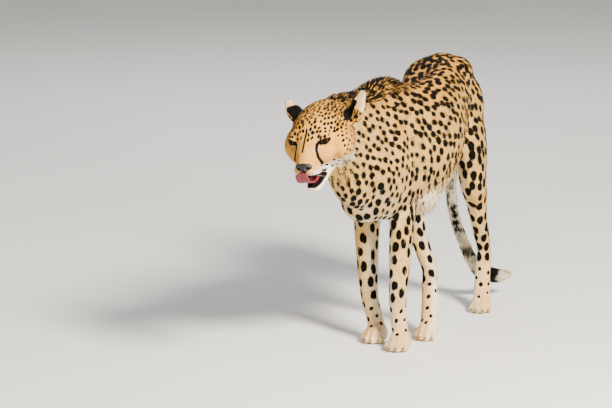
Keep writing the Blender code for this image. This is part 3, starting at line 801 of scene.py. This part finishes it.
def build_tufts(name, roots, normals, way, length, width, lift, values, place, bent):
    """One mesh of tapered tufts, with each value given at their roots and tips. A bent one has a
    middle ring and curls back to the body."""
    side = np.cross(normals, way)
    half = width[:, None] / 2
    length = length[:, None]
    rise, lower = (np.cos(lift * share)[:, None] * way + np.sin(lift * share)[:, None] * normals
                   for share in (1, .3))
    start = roots - normals * (ROOT_SINK * length)
    rings = [start - side * half, start + side * half, start + normals * half * .9]
    if bent:
        middle = start + rise * (length * .5)
        rings += [middle - side * half * .8, middle + side * half * .8, middle + normals * half * .8,
                  middle + lower * (length * .5)]
    else:
        rings.append(start + rise * length)
    pattern, on_patch, along = (np.array(part) for part in TUFT_SHAPES[bent])
    points = np.stack(rings, axis=1).reshape(-1, 3)
    points[:, 2] = np.maximum(points[:, 2], FLOOR_CLEARANCE)
    faces = (pattern[None] + len(rings) * np.arange(len(roots))[:, None, None]).reshape(-1, 3)
    obj = write_mesh(name, points, faces)
    flat = (place[:, None] + (on_patch - .5)[None] * PATCH).reshape(-1, 2)[faces.ravel()]
    layer = obj.data.uv_layers.new(name="OFBake")
    layer.data.foreach_set("uv", np.ascontiguousarray(flat, np.float32).ravel())
    add_values(obj, {key: (root[:, None] + np.outer(tip - root, along)).ravel()
                     for key, (root, tip) in values.items()})
    add_values(obj, {"along": np.tile(along, len(roots))})
    return obj


def between(values, corners, share):
    """Values of the skin's points at places between them."""
    return np.sum(values[corners] * share[:, :, None], axis=1)


def coat_places(points, faces, normals, label):
    """Roots of the tufts, thinned to the spacing that each stretch of coat needs, with their normals,
    nodes, the skin's points around them and the share of each."""
    face, share = sample(points, faces, ROOT_TRIES)
    corners = faces[face]
    root = between(points, corners, share)
    owner = label[corners[:, 0]]
    cell = np.full(len(root), .0031)
    give(cell, owner, (((*LEGS, *TAIL_NODES), .0028), ((*EARS, *PAWS), .0023), (SKULL, .0024)))
    cell[is_node(owner, *SKULL) & (in_head(root)[:, 1] > -.02)] = .0018
    kept = spread(root, cell)
    corners, share = corners[kept], share[kept]
    return root[kept], unit(between(normals, corners, share)), owner[kept], corners, share


def make_coat(points, faces, normals, label, way, spots, tree):
    """The coat's pieces: plain tufts where it is short, bent locks where it is long."""
    root, normal, owner, corners, share = coat_places(points, faces, normals, label)
    direction = along_surface(between(way, corners, share), normal)
    found = spots_near(root, tree)
    marks = markings(root, normal, owner, spots, found)
    sole = (root[:, 2] < .006) & (normal[:, 2] < -.5)
    grown = (marks["bare"] < .5) & ~sole
    m = masks(root, normal, owner)
    count = len(root)
    length = coat_length(root, normal, owner) * RNG.uniform(.75, 1.2, count)
    swirl = RNG.normal(0, .16, count)[:, None]
    direction = unit(direction * np.cos(swirl) + np.cross(normal, direction) * np.sin(swirl))
    hanging = np.minimum(1, 3 * m["fringe"]) * ramp(normal[:, 2], .1, -.6)
    lift = np.radians(13) + np.radians(32) * m["nape"] + np.radians(10) * m["cheek"] \
        + np.maximum(np.radians(34) * m["belly"], np.radians(62) * hanging) \
        + np.radians(12) * m["under_tail"] + RNG.normal(0, np.radians(3), count)
    tip_marks = markings(root + direction * length[:, None], normal, owner, spots, found)
    mane = m["nape"] > RNG.uniform(.15, 1.15, count)
    for some in (marks, tip_marks):
        some["dark"] = np.maximum(some["dark"], mane)
    width = np.clip(length * TUFT_WIDTH, *WIDTH_LIMITS)
    place = unwrap(root, owner)
    shade = np.clip(RNG.normal(.5, .22, count), 0, 1)
    long_hair = (length > LONG_HAIR) & grown
    pieces = []
    for bent, name, chosen in ((False, "coat", grown & ~long_hair), (True, "locks", long_hair)):
        which = np.nonzero(chosen)[0]
        which = which[np.argsort(root[which, 1], kind="stable")]
        parts = max(1, math.ceil(len(which) / MOST_TUFTS[bent]))
        for index, part in enumerate(np.array_split(which, parts)):
            values = {key: (marks[key][part], tip_marks[key][part]) for key in COAT_VALUES}
            values["shade"] = (shade[part], shade[part])
            pieces.append(build_tufts(f"{name}_{index + 1}", root[part], normal[part], direction[part],
                                      length[part], width[part], lift[part], values, place[part], bent))
    return pieces


# ---- materials ----
def new_material(name, roughness, **settings):
    """A material, its node tree and its shader, with constants set on the shader's own sockets."""
    mat = bpy.data.materials.new(name)
    mat.use_nodes = True
    shader = mat.node_tree.nodes["Principled BSDF"]
    shader.inputs["Roughness"].default_value = roughness
    for key, value in settings.items():
        shader.inputs[key.replace("_", " ")].default_value = value
    return mat, mat.node_tree, shader


def new_node(tree, kind, **inputs):
    """A node of a kind, with constants on its inputs."""
    node = tree.nodes.new("ShaderNode" + kind)
    for name, value in inputs.items():
        node.inputs[name].default_value = value
    return node


def value_node(tree, name):
    node = new_node(tree, "Attribute")
    node.attribute_name = name
    return node.outputs["Fac"]


def mixed(tree, factor, first, second, blend="MIX"):
    """A colour mix; each input is a colour or another node's output."""
    node = new_node(tree, "Mix")
    node.data_type = "RGBA"
    node.blend_type = blend
    for socket, kind, value in (("Factor", "VALUE", factor), ("A", "RGBA", first), ("B", "RGBA", second)):
        target = next(s for s in node.inputs if s.name == socket and s.type == kind)
        if isinstance(value, bpy.types.NodeSocket):
            tree.links.new(value, target)
        else:
            target.default_value = (*value, 1) if isinstance(value, tuple) else value
    return next(s for s in node.outputs if s.type == "RGBA")


def shaded(tree, colour, factor, at_none, at_full):
    """A colour multiplied by another one, which goes from at_none to at_full with a factor."""
    return mixed(tree, 1.0, colour, mixed(tree, factor, at_none, at_full), "MULTIPLY")


def stepped(tree, value, start, end):
    """A smooth step of a number."""
    node = new_node(tree, "MapRange", **{"From Min": start, "From Max": end})
    node.interpolation_type = "SMOOTHSTEP"
    tree.links.new(value, node.inputs["Value"])
    return node.outputs["Result"]


def noise(tree, scale):
    place = new_node(tree, "TexCoord")
    node = new_node(tree, "TexNoise", Scale=scale)
    tree.links.new(place.outputs["Object"], node.inputs["Vector"])
    return node.outputs["Fac"]


def add_grain(tree, shader, strength, height, scale):
    """Fine bumps on a material."""
    grain = new_node(tree, "Bump", Strength=strength, Distance=height)
    tree.links.new(noise(tree, scale), grain.inputs["Height"])
    tree.links.new(grain.outputs["Normal"], shader.inputs["Normal"])


TAN = (.89, .575, .18)
GOLD = (.8, .405, .075)
CREAM = (.96, .87, .67)
SPOT_BLACK = (.004, .003, .002)
# the mouth's lining, painted nearly black as the shade inside the mouth
MOUTH_PAINTED_SHADE = (.008, .003, .003)
EYE_RINGS = [  # share of the way from the front pole to the back one, colour: pupil, iris, white
    (0.0, (.003, .002, .002)), (.095, (.003, .002, .002)), (.112, (.085, .026, .005)),
    (.17, (.05, .013, .003)), (.205, (.01, .005, .003)), (.27, (.03, .02, .018)),
    (1.0, (.25, .2, .18))]


def coat_material(name, on_tufts):
    mat, tree, shader = new_material(name, .78, Specular_IOR_Level=.1)
    colour = mixed(tree, value_node(tree, "gold"), TAN, GOLD)
    patchy = stepped(tree, noise(tree, 14.0), .3, .7)
    colour = shaded(tree, colour, patchy, (1.0, 1.0, 1.0), (.9, .87, .82))
    colour = mixed(tree, value_node(tree, "pale"), colour, CREAM)
    if on_tufts:
        colour = shaded(tree, colour, value_node(tree, "shade"), (.74, .7, .66), (1.16, 1.16, 1.16))
        colour = shaded(tree, colour, value_node(tree, "along"), (.84, .8, .76), (1.08, 1.08, 1.08))
    else:
        add_grain(tree, shader, .35, .001, 900.0)
    spot = stepped(tree, value_node(tree, "spot"), SPOT_EDGE * .82, SPOT_EDGE * 1.18)
    colour = mixed(tree, spot, colour, SPOT_BLACK)
    if not on_tufts:
        # painted shade: the mouth's lining nearly black
        colour = mixed(tree, value_node(tree, "mouth"), colour, MOUTH_PAINTED_SHADE)
    dark = stepped(tree, value_node(tree, "dark"), .35, .65)
    tree.links.new(mixed(tree, dark, colour, SPOT_BLACK), shader.inputs["Base Color"])
    return mat


def eye_material():
    mat, tree, shader = new_material("eye", .1, Specular_IOR_Level=.06)
    ring = new_node(tree, "ValToRGB")
    tree.links.new(value_node(tree, "ring"), ring.inputs["Fac"])
    stops = ring.color_ramp.elements
    for index, (place, colour) in enumerate(EYE_RINGS):
        stop = stops[index] if index < 2 else stops.new(place)
        stop.position = place
        stop.color = (*colour, 1)
    fibres = stepped(tree, noise(tree, 700.0), .25, .8)
    colour = shaded(tree, ring.outputs["Color"], fibres, (.6, .6, .6), (1.15, 1.1, 1.0))
    tree.links.new(colour, shader.inputs["Base Color"])
    return mat


def bumpy_material(name, light, deep, roughness, scale, height):
    """A material mottled between two colours with a fine grain."""
    mat, tree, shader = new_material(name, roughness)
    colour = mixed(tree, stepped(tree, noise(tree, scale * .3), .3, .7), light, deep)
    tree.links.new(colour, shader.inputs["Base Color"])
    add_grain(tree, shader, .5, height, scale)
    return mat


def finish(obj, mat, slot, *replaced):
    obj.data.materials.append(mat)
    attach(obj, "root")
    if replaced:
        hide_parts(*replaced)


def ball_angles(rows, around):
    """For the rings of a ball, the angles from its pole and round it."""
    return np.repeat(np.linspace(.02, math.pi - .02, rows), around), np.tile(ring_angles(around), rows)


# ---- eyes, nose, tongue, claws and whiskers ----


def capped(points, rows, around):
    """Rings joined into a closed surface that faces outward, with a point at the middle of each end."""
    j = np.arange(around)
    k = (j + 1) % around
    faces = []
    for low in range(0, (rows - 1) * around, around):
        high = low + around
        faces += [np.stack([low + j, low + k, high + k], axis=1),
                  np.stack([low + j, high + k, high + j], axis=1)]
    top = (rows - 1) * around
    faces += [np.stack([k, j, np.full(around, len(points))], axis=1),
              np.stack([top + j, top + k, np.full(around, len(points) + 1)], axis=1)]
    faces = np.concatenate(faces)
    points = np.concatenate([points, [points[:around].mean(axis=0), points[-around:].mean(axis=0)]])
    a, b, c = (points[faces[:, i]] - points.mean(axis=0) for i in range(3))
    return points, faces if np.sum(a * np.cross(b, c)) > 0 else faces[:, ::-1]


def make_eyes():
    """Eyeballs with a slight bulge over the iris."""
    rows, around = 40, 48
    angle, theta = ball_angles(rows, around)
    radius = EYE_RADIUS * (1 + .012 * np.exp(-(angle / math.radians(26)) ** 4))
    for side, name in ((1, "eye_left"), (-1, "eye_right")):
        points = EYE_AT[side] + radius[:, None] * from_sight(side, angle, theta)
        ball = write_mesh(f"{name}_ball", *capped(points, rows, around))
        add_values(ball, {"ring": np.append(angle, (0, math.pi)) / math.pi})
        finish(ball, EYE, "eye", name)


def make_nose():
    """The bare pad: broad above, narrow below, with comma-shaped nostrils and a middle groove."""
    rows, around = 40, 56
    angle, theta = ball_angles(rows, around)
    x, z, y = np.sin(angle) * np.cos(theta), np.sin(angle) * np.sin(theta), np.cos(angle)
    ball = np.stack([x * pad_width(z), y, z], axis=1)
    front = ramp(y, 0, .4)
    for side in (-1, 1):
        hole = np.exp(-(((ball[:, 0] - side * .52) / .22) ** 2 + ((ball[:, 2] + .02) / .24) ** 2))
        slit = np.exp(-(((ball[:, 0] - side * .74) / .2) ** 2 + ((ball[:, 2] + .16) / .1) ** 2))
        ball[:, 1] -= front * np.clip(.7 * hole + .45 * slit, 0, .8)
    ball[:, 1] -= front * .28 * np.exp(-(ball[:, 0] / .07) ** 2) * ramp(z, .3, -.2)
    points = from_head(np.array(NOSE["centre"]) + ball * NOSE["half"])
    finish(write_mesh("nose_pad", *capped(points, rows, around)), NOSE_PAD, "coat")


TONGUE_STATIONS = [  # middle in the head's axes, half width
    (.006, -.005, -.0745, .01), (.006, .027, -.0796, .011), (.005, .043, -.0828, .013),
    (.002, .061, -.0822, .016), (-.002, .0738, -.0755, .0178), (-.005, .078, -.0655, .0172),
    (-.006, .0796, -.056, .015), (-.0065, .0806, -.0515, .0125)]


def smooth_line(stations, count):
    """A smooth curve through stations, at evenly spaced steps."""
    values = np.array(stations)
    padded = np.concatenate([2 * values[:1] - values[1:2], values, 2 * values[-1:] - values[-2:-1]])
    t = np.linspace(0, len(values) - 1, count)
    i = np.minimum(t.astype(int), len(values) - 2)
    f = (t - i)[:, None]
    p0, p1, p2, p3 = (padded[i + k] for k in range(4))
    return .5 * (2 * p1 + (p2 - p0) * f + (2 * p0 - 5 * p1 + 4 * p2 - p3) * f ** 2
                  + (3 * p1 - p0 - 3 * p2 + p3) * f ** 3)


def make_tongue():
    """A flat tongue that leaves the mouth and curls over the lip, with a groove down its middle."""
    rows, around = 46, 36
    line = smooth_line(TONGUE_STATIONS, rows)
    path = line[:, :3]
    tip = ramp(np.linspace(0, 1, rows), 1.0, .86)
    half = line[:, 3] * np.sqrt(np.clip(.08 + .92 * tip, 0, 1))
    along = unit(np.gradient(path, axis=0))
    side = unit(np.cross(along, np.cross((1.0, 0.0, 0.0), along)))
    upward = np.cross(side, along)
    theta = ring_angles(around)
    across = np.cos(theta)
    groove = -.0011 * np.exp(-(across / .22) ** 2) * (np.sin(theta) < 0)
    cup = .0016 * across ** 2
    points = []
    for k in range(rows):
        thick = .0029 * np.sin(theta) * np.sqrt(.35 + .65 * tip[k])
        points.append(path[k] + side[k] * (across * half[k])[:, None]
                      + upward[k] * (thick - groove - cup)[:, None])
    obj = write_mesh("tongue_soft", *capped(from_head(np.concatenate(points)), rows, around))
    finish(obj, TONGUE, "tongue", "tongue")


def horn(start, way, length, thick, curl, rows=6, around=6):
    """A closed tapered spike that curls towards curl."""
    t = np.linspace(0, 1, rows)
    path = start + np.outer(t * length, way) + np.outer(t ** 2 * length, curl)
    along = unit(np.gradient(path, axis=0))
    side = unit(np.cross(along, (.3, .5, .8)))
    up = np.cross(side, along)
    theta = ring_angles(around)
    radius = thick * (1 - .93 * t)
    points = np.concatenate([p + r * (np.outer(np.cos(theta), s) + np.outer(np.sin(theta), u))
                             for p, r, s, u in zip(path, radius, side, up)])
    return capped(points, rows, around)


def joined(name, shapes, mat):
    """Several closed shapes as one piece."""
    points, faces = [], []
    for some, corners in shapes:
        faces.append(corners + sum(len(earlier) for earlier in points))
        points.append(some)
    finish(write_mesh(name, np.concatenate(points), np.concatenate(faces)), mat, "coat")


def make_claws():
    """The front of a blunt claw over each toe."""
    toes = ((-.0265, .03), (-.0095, .044), (.0095, .044), (.0265, .03))
    for paw, leg in PAWS.items():
        size = .97 if leg.startswith("fore") else .92
        ahead, side = paw_axes(leg)
        way = unit(ahead + (0, 0, .05))
        shapes = []
        for across, reach in toes:
            start = CHAINS[leg][-1] + side * across * size + ahead * (reach + .0165) * size
            start[2] = .012
            shapes.append(horn(start, way, .011, .0026, np.array((0, 0, -.55))))
        joined(f"claws_{paw}", shapes, CLAW)


def make_whiskers(skin_tree):
    """Stiff white hairs from the sides of the muzzle."""
    curl = turn_vector((0, -.12, -.1)) / HEAD_SCALE
    shapes = []
    for side in (-1, 1):
        for row in range(3):
            for k in range(3):
                place = np.array((side * (.022 + .0026 * k), .056 - .0095 * k, -.049 - .0056 * row))
                start = np.array(skin_tree.find_nearest(Vector(from_head(place)))[0])
                way = unit(turn_vector((side * 1.0, .05 - .34 * k, .16 - .14 * row)))
                shapes.append(horn(start, way, .028 + .009 * k, .00035, curl, 7, 4))
    joined("whiskers", shapes, WHISKER)


# ---- the scene ----
def make_floor():
    corners = [(x * FLOOR_HALF, y * FLOOR_HALF, -.0005) for x, y in ((-1, -1), (1, -1), (1, 1), (-1, 1))]
    floor = write_mesh("studio_floor", corners, np.array([[0, 1, 2, 3]]))
    mat = bumpy_material("studio", (.8, .79, .77), (.84, .83, .81), .9, 3.0, .0005)
    floor.data.materials.append(mat)


def area_light(name, place, size, power, colour):
    """A soft square light that points at the animal."""
    data = bpy.data.lights.new(name, "AREA")
    data.size = size
    data.energy = power
    data.color = colour
    lamp = add_object(name, data)
    lamp.location = place
    lamp.rotation_euler = (Vector((0, 0, .45)) - Vector(place)).to_track_quat("-Z", "Y").to_euler()


FLOOR_HALF = 14.0
CAMERA_AZIMUTH, CAMERA_HEIGHT = math.radians(18), math.radians(11)     # how far it is round, and above
CAMERA_PLACE = (3.368, -11.21, 2.691)
LENS = 254.1              # focal length in millimetres


def make_camera_and_lights():
    data = bpy.data.cameras.new("camera")
    data.sensor_width = 36.0
    data.lens = LENS
    data.clip_end = 60.0
    camera = add_object("camera", data)
    camera.location = Vector(CAMERA_PLACE) + Vector(SHIFT)
    camera.rotation_euler = (math.pi / 2 - CAMERA_HEIGHT, 0, CAMERA_AZIMUTH)
    bpy.context.scene.camera = camera
    area_light("key", (3.4, -2.6, 3.6), 1.2, 1050, (1.0, .94, .83))
    area_light("fill", (-3.6, -3.4, 2.4), 2.0, 40, (.96, .97, 1.0))
    area_light("back", (-1.5, 4.0, 3.2), 2.5, 90, (1.0, 1.0, 1.0))
    world = bpy.data.worlds.new("studio_air")
    world.use_nodes = True
    background = world.node_tree.nodes["Background"]
    background.inputs["Color"].default_value = (.89, .89, .9, 1)
    background.inputs["Strength"].default_value = .42
    bpy.context.scene.world = world


def make_skin_and_coat():
    """The skin and the coat with their markings; returns a search tree over the skin."""
    points, faces, normals, label = make_skin()
    way = smoothed(along_surface(lie(points, label), normals), mesh_edges(faces), .5, 25)
    way = along_surface(way, normals)
    spots = place_spots(points, normals, label, way)
    tree = kdtree.KDTree(len(spots["place"]))
    for number, place in enumerate(spots["place"]):
        tree.insert(place, number)
    tree.balance()
    marks = markings(points, normals, label, spots, spots_near(points, tree))
    skin = write_mesh("skin", points, faces)
    add_values(skin, {key: marks[key] for key in (*COAT_VALUES, "mouth")})
    finish(skin, SKIN_FINISH, "coat", *FLESH)
    for piece in make_coat(points, faces, normals, label, way, spots, tree):
        finish(piece, COAT_FINISH, "coat")
    return BVHTree.FromPolygons([Vector(p) for p in points], faces.tolist())


SKIN_FINISH = coat_material("skin", False)
COAT_FINISH = coat_material("coat_tufts", True)
EYE = eye_material()
NOSE_PAD = bumpy_material("nose_leather", (.006, .005, .005), (.013, .01, .01), .5, 1500.0, .0004)
TONGUE = bumpy_material("wet_tongue", (.14, .005, .014), (.24, .015, .03), .45, 1300.0, .0005)
CLAW = bumpy_material("claw_horn", (.05, .038, .03), (.11, .085, .065), .35, 600.0, .0002)
WHISKER = bumpy_material("whisker", (.85, .84, .8), (.75, .73, .68), .4, 800.0, .0001)

skin_tree = make_skin_and_coat()
make_eyes()
make_nose()
make_tongue()
make_claws()
make_whiskers(skin_tree)
make_floor()
make_camera_and_lights()
